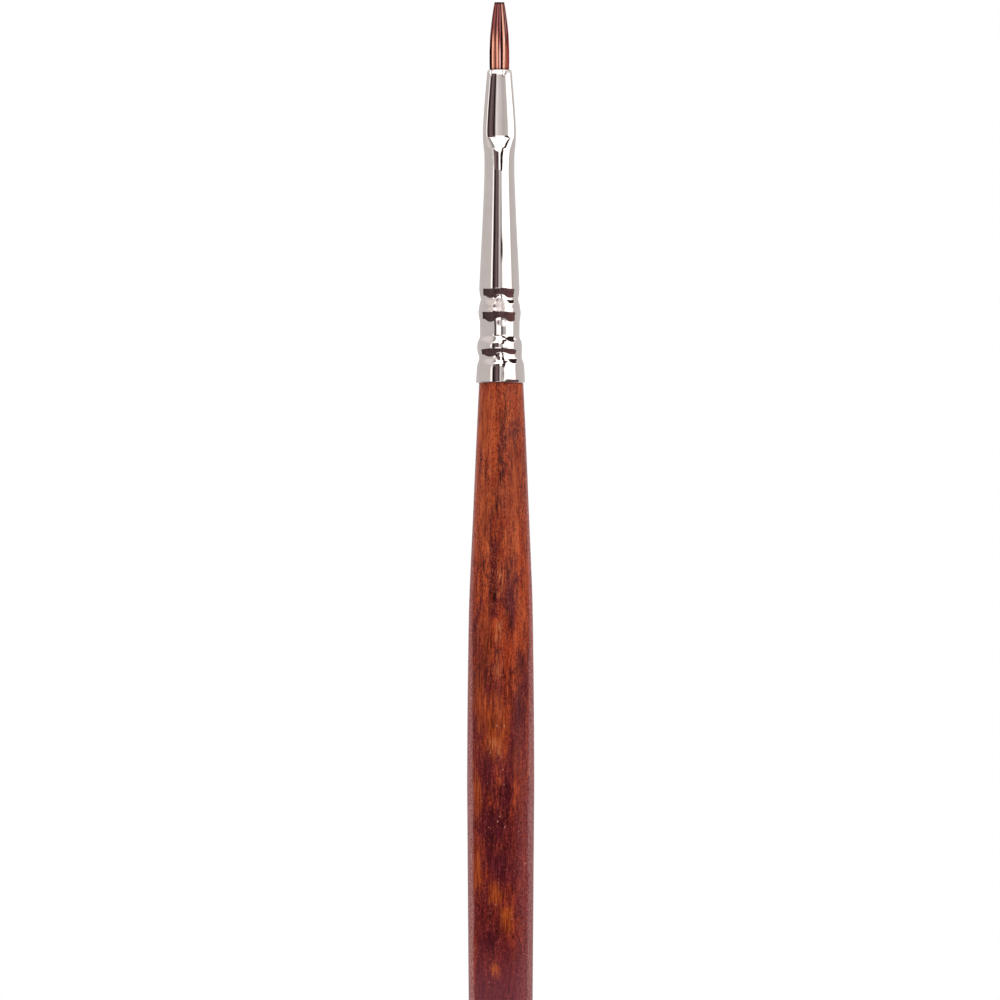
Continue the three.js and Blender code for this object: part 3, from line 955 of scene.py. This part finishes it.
def wood_front(nodes, colour, grain, fibre, x, z, front):
    """The patches, where they lie on this piece of wood."""
    ragged = nodes.plus(
        nodes.linear(grain("ragged"), scale=2.3, offset=-1.15),
        nodes.linear(grain("frayed"), scale=2.0, offset=-1.0),
    )

    def patch(hills):
        total = None
        for centre_x, centre_z, wide, tall, strength in hills:
            away = nodes.ellipse(x, z, centre=(centre_x, centre_z), half=(wide, tall))
            spot = nodes.smooth(nodes.plus(away, ragged), start=1.38, end=0.22, times=strength)
            total = spot if total is None else nodes.math("MAXIMUM", total, spot)
        return nodes.times(total, front)

    orange = nodes.mix(nodes.smooth(fibre, start=0.40, end=0.62), "#7e2c10", "#b05222")
    colour = nodes.mix(patch(WOOD_ORANGE), colour, orange)
    dark = nodes.mix(nodes.smooth(fibre, start=0.40, end=0.66), "#3c0c16", "#641f28")
    colour = nodes.mix(patch(WOOD_DARK), colour, dark)
    strands = grain("strands")
    knots = nodes.times(patch(WOOD_KNOTS), nodes.smooth(strands, start=0.42, end=0.58))
    colour = nodes.mix(knots, colour, "#2a0607")
    # Pale streaks of the figure, partly painted highlights.
    pale = nodes.times(patch(WOOD_PALE), nodes.smooth(strands, start=0.52, end=0.44))
    return nodes.mix(pale, colour, "#c9784c")


def wood_dust(nodes, colour, grain, down, z):
    # A fine speckle over the figure, where the lacquer has picked up dust.
    speckle = grain("speckle")
    more = nodes.linear(down, scale=0.12, offset=0.12)
    colour = nodes.mix(
        nodes.smooth(speckle, start=0.55, end=0.68, times=more), colour, "#b4523e"
    )
    colour = nodes.mix(
        nodes.smooth(speckle, start=0.45, end=0.33, times=more), colour, "#34090e"
    )
    # The stain turns mauve lower down.
    colour = nodes.mix(
        nodes.smooth(z, start=0.0935, end=0.0865, times=0.20), colour, "#9a5a66"
    )
    # Dust and pinholes in the lacquer.
    more = nodes.linear(down, scale=0.45, offset=0.20)
    pinholes = nodes.smooth(grain("pinhole"), start=0.745, end=0.79, times=more)
    return nodes.mix(pinholes, colour, "#c9917e")


def wood_painted_reflection(nodes, colour, grain, fibre, x, z, front):
    """Painted reflection: where the handle is seen edge-on, its colour turns pale and pinkish,
    standing in for the white room reflected in the lacquer, with a fairly sharp inner edge.
    It is measured in plan, so that it stays at the two sides when seen from above."""
    geometry = nodes.add("ShaderNodeNewGeometry")
    normal, incoming = (
        nodes.vector("NORMALIZE", nodes.vector("MULTIPLY", geometry.outputs[name], (1, 1, 0)))
        for name in ("Normal", "Incoming")
    )
    dot = nodes.vector("DOT_PRODUCT", normal, incoming, output="Value")
    sideways = nodes.math("SUBTRACT", 1.0, nodes.math("ABSOLUTE", dot))
    uneven = nodes.linear(grain("rim"), scale=0.14, offset=-0.07)
    # The band of painted reflection is wider low on the handle.
    lower = nodes.linear(nodes.smooth(z, start=0.148, end=0.108), scale=0.21, offset=-0.11)
    turned = nodes.plus(nodes.plus(sideways, uneven), lower)
    # Strength of the painted reflection band, towards the handle's sides as seen.
    rim = nodes.smooth(turned, start=0.49, end=0.60)
    # Dark fibres show through the painted reflection.
    fibres = nodes.smooth(fibre, start=0.5, end=0.3, times=nodes.times(rim, 0.5))
    colour = nodes.mix(fibres, colour, "#5a2424")
    # Colour of the painted reflection, speckled paler and darker.
    low_reflection_colour = nodes.mix(nodes.smooth(x, start=-0.001, end=0.001), "#aa6f6c", "#98625f")
    reflection_colour = nodes.mix(nodes.smooth(z, start=0.128, end=0.100), "#9c5650", low_reflection_colour)
    dust = grain("dust")
    reflection_colour = nodes.mix(nodes.smooth(dust, start=0.53, end=0.66), reflection_colour, "#c6938c")
    reflection_colour = nodes.mix(nodes.smooth(dust, start=0.48, end=0.36), reflection_colour, "#6c3a3c")
    colour = nodes.mix(nodes.times(rim, 0.72), colour, reflection_colour)
    # Painted shade: the very edge, as seen, is darker and cooler.
    painted_edge_shade = nodes.smooth(turned, start=0.86, end=1.0, times=0.45)
    colour = nodes.mix(painted_edge_shade, colour, "#5c4148")
    # A painted mauve sheen on the lower right.
    low = nodes.smooth(z, start=0.125, end=0.098, times=0.44)
    sheen = nodes.smooth(x, start=0.0012, end=0.0026, times=low)
    sheen = nodes.times(sheen, nodes.smooth(dust, start=0.38, end=0.62))
    return nodes.mix(nodes.times(sheen, front), colour, "#94585a")


def wood_material():
    material, nodes, shader = new_material("mahogany_stain_lacquer")
    coords = nodes.coords()
    x, y, z = nodes.split(coords)

    def grain(name):
        across, along, shift, detail, roughness = GRAINS[name]
        return nodes.noise(
            coords, detail, roughness, stretch=(across, across, along), shift=shift
        )

    # How far down the handle: 0 under the ferrule, 1 at the belly and below.
    down = nodes.smooth(z, start=0.150, end=0.098)
    front = nodes.smooth(y, start=0.0005, end=-0.0009)
    fibre = grain("fibre")
    colour, pore = wood_ground(nodes, coords, grain, down, fibre)
    colour = wood_back(nodes, colour, grain, down, y)
    colour = wood_front(nodes, colour, grain, fibre, x, z, front)
    colour = wood_dust(nodes, colour, grain, down, z)
    colour = wood_painted_reflection(nodes, colour, grain, fibre, x, z, front)
    lower = nodes.smooth(z, start=0.142, end=0.122)
    relief = nodes.linear(pore, scale=-0.8, offset=fibre)
    nodes.put(shader, {
        "Base Color": colour,
        "Roughness": 0.5,
        "Specular IOR Level": nodes.linear(lower, scale=-0.09, offset=0.12),
        "Coat Weight": 0.10,
        "Coat Roughness": 0.05,
        "Coat IOR": 1.45,
        "Normal": nodes.bump(relief, strength=0.35, distance=0.00002),
        "Coat Normal": nodes.bump(grain("peel"), strength=0.25, distance=0.00001),
    })  # fmt: skip
    return material


# --------------------------------------------------------------- hair material
# Each lock from the left: colour near the ferrule, colour near the tip, how far up the first
# gives way to the second, how warm its partings are. The colours carry painted light and shade
# over the hair's own red-brown: the leftmost lock is painted near-black as shade at the tuft's
# edge, and the pale salmon locks are painted highlights.
LOCK_LOOKS = [
    ("#140203", "#5a1418", 0.5, 0.0),
    ("#ffbea2", "#9c504e", 0.60, 1.0),
    ("#ffbba0", "#a05452", 0.66, 1.0),
    ("#e0b0aa", "#8a3c42", 0.50, 0.35),
    ("#ffc6ac", "#e89a7c", 0.96, 0.9),
    ("#b4604e", "#38080a", 0.5, 0.4),
    ("#985058", "#7c3a3e", 0.5, 0.2),
]
# The lock with the strongest painted highlight.
BRIGHT_LOCK = 4 / (ACROSS - 1)


def hair_material():
    material, nodes, shader = new_material("red_brown_hair")
    along, tint, edge, lock = (
        nodes.add("ShaderNodeAttribute", attribute_name=name).outputs["Fac"]
        for name in ("along", "tint", "edge", "lock")
    )

    def per_lock(column):
        stops = [(k / (ACROSS - 1), look[column]) for k, look in enumerate(LOCK_LOOKS)]
        # A little is added so that each lock falls safely past its own stop.
        return nodes.ramp(nodes.plus(lock, 0.01), stops, "CONSTANT")

    def near(value, centre, start, end):
        away = nodes.math("ABSOLUTE", nodes.math("SUBTRACT", value, centre))
        return nodes.smooth(away, start, end)

    low, high, reach = per_lock(0), per_lock(1), per_lock(2)
    far = nodes.math("SUBTRACT", nodes.linear(tint, scale=0.16, offset=along), reach)
    colour = nodes.mix(nodes.smooth(far, start=-0.16, end=0.12), low, high)
    # Hair by hair, less in the bright lock.
    bright = near(lock, BRIGHT_LOCK, start=0.12, end=0.04)
    less = nodes.times(nodes.linear(bright, scale=-0.75, offset=1.0), 0.85)
    colour = nodes.mix(nodes.smooth(tint, start=0.50, end=0.18, times=less), colour, "#7a1c10")
    # Pale mauve hairs in the upper part.
    pale = nodes.smooth(tint, start=0.64, end=0.72)
    mauve = nodes.smooth(along, start=0.40, end=0.65, times=pale)
    colour = nodes.mix(nodes.times(mauve, 0.60), colour, "#c29a98")
    # A few hairs of the bright lock catch the light.
    glint = nodes.times(
        near(along, 0.455, start=0.05, end=0.02), nodes.smooth(tint, start=0.55, end=0.75)
    )
    glint = nodes.times(glint, near(lock, BRIGHT_LOCK, start=0.10, end=0.04))
    colour = nodes.mix(nodes.times(glint, 0.75), colour, "#efe4e2")
    # Painted shade in the partings and deep in the tuft, near-black to warm dark brown by lock.
    parting = nodes.mix(per_lock(3), "#0c0102", "#4c130c")
    colour = nodes.mix(nodes.smooth(edge, start=0.23, end=0.70), colour, parting)
    # Shadow where the hair goes into the mouth, and the cut ends.
    mouth = nodes.smooth(along, start=0.045, end=0.0, times=0.75)
    colour = nodes.mix(mouth, colour, "#180203")
    colour = nodes.mix(nodes.smooth(along, start=0.962, end=0.985), colour, "#140203")
    relief = nodes.noise(
        nodes.coords(), detail=2, roughness=0.5, stretch=(30000, 30000, 9000)
    )
    nodes.put(shader, {
        # Painted light: the colour is raised above 1, so the hair sends back more light than falls
        # on it. It stands in for light passing through the fine hair, brighter than its dye.
        "Base Color": nodes.scaled(colour, scale=1.32),
        "Roughness": 0.42,
        "IOR": 1.5,
        "Specular IOR Level": 0.06,
        "Anisotropic": 0.5,
        "Normal": nodes.bump(relief, strength=0.3, distance=0.000003),
    })  # fmt: skip
    return material


# ------------------------------------------------- materials inside the ferrule
def resin_material():
    material, nodes, shader = new_material("amber_resin")
    cloud = nodes.noise(nodes.coords(), detail=3, roughness=0.6, stretch=(1200, 1200, 1200))
    nodes.put(shader, {
        "Base Color": nodes.ramp(cloud, [(0.3, "#8a5a20"), (0.7, "#c89a4c")]),
        "Roughness": nodes.linear(cloud, scale=0.2, offset=0.15),
        "Coat Weight": 0.6,
    })  # fmt: skip
    return material


def root_material():
    material, nodes, shader = new_material("hair_set_in_resin")
    fibre = nodes.noise(nodes.coords(), detail=3, roughness=0.6, stretch=(9000, 9000, 500))
    stops = [(0.3, "#2c0c0a"), (0.55, "#5c2818"), (0.75, "#8a4a2c")]
    nodes.put(shader, {
        "Base Color": nodes.ramp(fibre, stops),
        "Roughness": 0.4,
        "Normal": nodes.bump(fibre, strength=1.0, distance=0.00002),
    })  # fmt: skip
    return material


def thread_material():
    material, nodes, shader = new_material("waxed_cotton")
    twist = nodes.noise(nodes.coords(), detail=3, roughness=0.6, stretch=(14000, 14000, 14000))
    nodes.put(shader, {
        "Base Color": nodes.ramp(twist, [(0.3, "#a89878"), (0.7, "#e0d4b8")]),
        "Roughness": 0.8,
        "Sheen Weight": 0.4,
    })  # fmt: skip
    return material


# ----------------------------------------------------------------------- world
WALLS = 0.73  # brightness of the room away from the softboxes
# What polished surfaces see, by bearing from the front (degrees, right is positive): grey or
# RGB brightness at each bearing, for bands from low to high.
ROOM = {
    # 1 to 10 degrees up
    "level": [
        (-180, WALLS), (-52, WALLS), (-47, 1.7), (-42, 1.6), (-39.5, 0.25), (-38, 0.012),
        (-28, 0.010), (-25, (0.15, 0.10, 0.105)), (-17, (0.25, 0.185, 0.195)),
        (-11, (0.17, 0.12, 0.125)), (-9, (0.02, 0.012, 0.012)), (-5, (0.05, 0.03, 0.03)),
        (-3, 1.25), (0, 0.82), (4, 0.62), (9, 0.70), (13, 0.72), (15.5, 0.50), (18, 1.6),
        (22, 2.2), (70, 2.2), (76, 0.80), (80, 0.62), (88, WALLS), (180, WALLS),
    ],
    # 10 to 18 degrees up
    "over": [
        (-180, WALLS), (-52, WALLS), (-47, 1.05), (-40, 0.9), (-36, (0.16, 0.11, 0.11)),
        (-29, (0.28, 0.21, 0.22)), (-24, (0.20, 0.15, 0.155)), (-14, (0.10, 0.065, 0.07)),
        (-8, (0.11, 0.07, 0.07)), (-5, 0.5), (-3, 1.9), (22, 2.2), (70, 2.2), (76, 0.80),
        (80, 0.62), (88, WALLS), (180, WALLS),
    ],
    # the table, more than 4 degrees down
    "below": [
        (-180, WALLS), (-108, WALLS), (-103, 0.03), (-97, 0.02), (-90, (0.10, 0.062, 0.066)),
        (-20, (0.085, 0.052, 0.056)), (0, (0.10, 0.06, 0.064)), (60, (0.16, 0.075, 0.08)),
        (84, (0.20, 0.085, 0.085)), (92, 0.06), (97, WALLS), (180, WALLS),
    ],
    # 18 to 28 degrees up
    "above": [
        (-180, WALLS), (-70, 0.85), (-46, (1.02, 0.92, 0.90)), (-36, 1.15), (-31, 2.0),
        (80, 2.0), (92, WALLS), (180, WALLS),
    ],
    # higher still
    "top": [
        (-180, 0.9), (-60, 0.95), (-38, 0.35), (-32, 0.30), (-28, 2.0), (80, 2.0), (110, 0.9),
        (180, 0.9),
    ],
    # about level, between the table and the lower softboxes
    "low": [
        (-180, WALLS), (-43, WALLS), (-39, 0.75), (-36, 0.06), (-29, 0.05), (-25, 0.4),
        (-20, 1.8), (6, 1.8), (10, 0.07), (17, 0.07), (21, 0.45), (30, 0.62), (42, 0.66),
        (44, 1.8), (70, 2.0), (76, 0.80), (88, WALLS), (180, WALLS),
    ],
    # a tall softbox and its dark frame behind the brush
    "behind": [
        (-180, 1.6), (-162.5, 1.9), (-161, 0.10), (-158, 0.10), (-156, WALLS), (156, WALLS),
        (158, 0.10), (161, 0.10), (162.5, 1.9), (180, 1.6),
    ],
}  # fmt: skip
# The dark gap between the softboxes, in degrees. A narrow slot that leans to the right as it
# rises: height and bearing of its middle, then height and half width.
SLOT_MIDDLE = [
    (8, 14.5), (12, 15.8), (13.6, 15.8), (17, 18.2), (24.5, 22.5), (30, 30), (36, 32), (45, 33),
]  # fmt: skip
SLOT_HALF = [
    (8, 6), (12, 8.5), (14, 10), (16.5, 10), (18, 6.5), (22, 6.5), (24, 11), (30, 14), (45, 14),
]  # fmt: skip
# And a wider opening on the far right: bearing, height of its lower edge.
OPENING_EDGE = [
    (34, 90), (40, 47), (50, 43), (56, 34), (62, 27), (75, 21.5), (88, 20), (93, 90),
]  # fmt: skip
SLOT_TOP = 60  # height at the end of the slot's ramps


def softbox_gap(nodes, by_bearing, bearing, height):
    """Mask of the dark gap. Its ramps hold hundredths of the angles, and -100 undoes that."""
    up = nodes.times(height, 1 / SLOT_TOP)
    middle, half = (
        nodes.ramp(up, [(at / SLOT_TOP, value / 100) for at, value in rows])
        for rows in (SLOT_MIDDLE, SLOT_HALF)
    )
    away = nodes.math("ABSOLUTE", nodes.linear(middle, scale=-100.0, offset=bearing))
    away = nodes.linear(half, scale=-100.0, offset=away)
    bottom = nodes.smooth(height, start=7.9, end=8.7)
    slot = nodes.smooth(away, start=0.8, end=-0.8, times=bottom)
    slot = nodes.times(slot, nodes.smooth(height, start=46.0, end=42.0))
    lower = by_bearing([(at, value / 100) for at, value in OPENING_EDGE])
    over_edge = nodes.linear(lower, scale=-100.0, offset=height)
    top = nodes.smooth(height, start=57.0, end=54.0)
    wide = nodes.smooth(over_edge, start=-1.0, end=1.0, times=top)
    return nodes.math("MAXIMUM", slot, wide)


def room_colour(nodes, direction, x, y, z):
    """What polished surfaces see: softboxes, the dark camera side and the dark table."""
    to_degrees = 180 / math.pi
    bearing = nodes.times(nodes.math("ARCTAN2", x, nodes.times(y, -1.0)), to_degrees)
    height = nodes.times(nodes.math("ARCSINE", z), to_degrees)
    around = nodes.linear(bearing, scale=1 / 360, offset=0.5)

    def by_bearing(rows):
        return nodes.ramp(around, [((at + 180) / 360, colour) for at, colour in rows])

    def between(start, end):
        return nodes.smooth(height, start, end)

    room = {name: by_bearing(rows) for name, rows in ROOM.items()}
    gap = softbox_gap(nodes, by_bearing, bearing, height)
    seen = nodes.mix(between(start=9.4, end=10.4), room["level"], room["over"])
    upper = nodes.mix(between(start=27.0, end=30.0), room["above"], room["top"])
    seen = nodes.mix(between(start=17.0, end=18.5), seen, upper)
    seen = nodes.mix(gap, seen, (0.015, 0.010, 0.011))
    seen = nodes.mix(between(start=1.4, end=0.8), seen, room["low"])
    there = nodes.smooth(
        nodes.math("ABSOLUTE", bearing), start=155.0, end=156.5, times=between(34.0, 28.0)
    )
    there = nodes.times(there, between(start=-3.0, end=-1.0))
    seen = nodes.mix(there, seen, room["behind"])
    # A black line round the edge of the dark table.
    right_end = nodes.smooth(bearing, start=97.0, end=92.0)
    table = nodes.smooth(bearing, start=-108.0, end=-103.0, times=right_end)
    line = nodes.times(table, between(start=-2.2, end=-3.2))
    seen = nodes.mix(line, seen, (0.02, 0.012, 0.013))
    seen = nodes.mix(between(start=-3.6, end=-5.0), seen, room["below"])
    # The dark things in the room are not one even tone.
    dark = nodes.smooth(seen, start=0.24, end=0.12)
    flock = nodes.noise(direction, detail=2, roughness=0.6, stretch=(17, 17, 17))
    lighter = nodes.times(dark, nodes.smooth(flock, start=0.52, end=0.66, times=0.75))
    seen = nodes.mix(lighter, seen, (0.23, 0.17, 0.175))
    darker = nodes.times(dark, nodes.smooth(flock, start=0.47, end=0.34, times=0.75))
    return nodes.mix(darker, seen, (0.022, 0.012, 0.013))


def build_world():
    """Soft studio: white all round for the camera, even light for matt surfaces, and the
    room for polished ones."""
    world = bpy.data.worlds.new("studio")
    bpy.context.scene.world = world
    world.use_nodes = True
    world.cycles.sampling_method = "NONE"
    nodes = Nodes(world.node_tree, "ShaderNodeOutputWorld")
    direction = nodes.coords("Generated")
    x, y, z = nodes.split(direction)

    def background(colour, strength):
        inputs = {"Color": colour, "Strength": strength}
        return nodes.add("ShaderNodeBackground", inputs).outputs[0]

    glossy = background(room_colour(nodes, direction, x, y, z), 1.0)
    # A little stronger from the right and from above.
    strength = nodes.linear(x, scale=0.10, offset=nodes.linear(z, scale=0.12, offset=1.0))
    soft = background((1.0, 0.985, 0.975, 1.0), strength)
    white = background((1.0, 1.0, 1.0, 1.0), 1.0)
    ray = nodes.add("ShaderNodeLightPath").outputs
    lit = nodes.add("ShaderNodeMixShader", {0: ray["Is Glossy Ray"], 1: soft, 2: glossy})
    seen = nodes.add(
        "ShaderNodeMixShader", {0: ray["Is Camera Ray"], 1: lit.outputs[0], 2: white}
    )
    nodes.put(nodes.output, {"Surface": seen.outputs[0]})


# ----------------------------------------------------------------------- floor
FLOOR_SIDES = 96
FLOOR_RADII = [4, 8, 16, 40, 90, 160, 250, 350, 450, 560]
Z_FLOOR = -0.02


def floor_material():
    """Pale, fading to clear between 200 and 540 mm from the middle."""
    material, nodes, shader = new_material("pale_floor")
    nodes.put(shader, {
        "Base Color": (0.93, 0.925, 0.92, 1.0),
        "Roughness": 0.9,
        "Specular IOR Level": 0.1,
    })  # fmt: skip
    distance = nodes.vector("LENGTH", nodes.coords(), output="Value")
    fade = nodes.smooth(distance, start=0.20, end=0.54)
    clear = nodes.add("ShaderNodeBsdfTransparent").outputs[0]
    mixed = nodes.add("ShaderNodeMixShader", {0: fade, 1: shader.outputs[0], 2: clear})
    nodes.put(nodes.output, {"Surface": mixed.outputs[0]})
    return material


def build_floor():
    """A pale round floor that fades out into the white behind it."""
    sides = FLOOR_SIDES
    vertices = [(0, 0, Z_FLOOR)]
    for radius in FLOOR_RADII:
        for angle in full_turn(sides):
            vertices.append((radius * math.cos(angle), radius * math.sin(angle), Z_FLOOR))
    triangles = [(0, 1 + k, 1 + (k + 1) % sides) for k in range(sides)]
    quads = []
    for i in range(len(FLOOR_RADII) - 1):
        for k in range(sides):
            here, after = 1 + i * sides + k, 1 + i * sides + (k + 1) % sides
            quads.append((here, here + sides, after + sides, after))
    floor = make_mesh("studio_floor", vertices, quads, triangles, smooth=False)
    floor.data.materials.append(floor_material())
    floor.visible_glossy = False


# ---------------------------------------------------------------------- camera
PICTURE_HEIGHT = 104.0  # at the brush
TIP_MARGIN = 0.21  # from the tip to the top of the picture
CAMERA_X = 0.064


def build_camera():
    """Level with the middle of the picture, square to the flat of the ferrule."""
    lens = bpy.data.cameras.new("camera")
    lens.lens = 200
    lens.sensor_width = 36
    lens.clip_start = 0.01
    lens.clip_end = 20
    camera = bpy.data.objects.new("camera", lens)
    bpy.context.scene.collection.objects.link(camera)
    distance = PICTURE_HEIGHT * lens.lens / lens.sensor_width
    centre_z = Z_TIP + TIP_MARGIN - PICTURE_HEIGHT / 2
    camera.location = (CAMERA_X * MM, -distance * MM, centre_z * MM)
    camera.rotation_euler = (math.radians(90), 0, 0)
    bpy.context.scene.camera = camera


# ------------------------------------------------------------------------ build
nickel = nickel_material()
wood = wood_material()
hair = hair_material()
resin = resin_material()
root = root_material()
cotton = thread_material()

build_ferrule(nickel)
build_handle(wood)
build_tuft(hair)
build_knot(root)
build_thread(cotton)

plug = frame["nodes"]["epoxy_plug"]
plug.data.materials.clear()
plug.data.materials.append(resin)
for polygon in plug.data.polygons:
    polygon.use_smooth = True

build_world()
build_floor()
build_camera()

view = bpy.context.scene.view_settings
view.view_transform = "Standard"
view.look = "None"
view.exposure = 0.0
view.gamma = 1.0
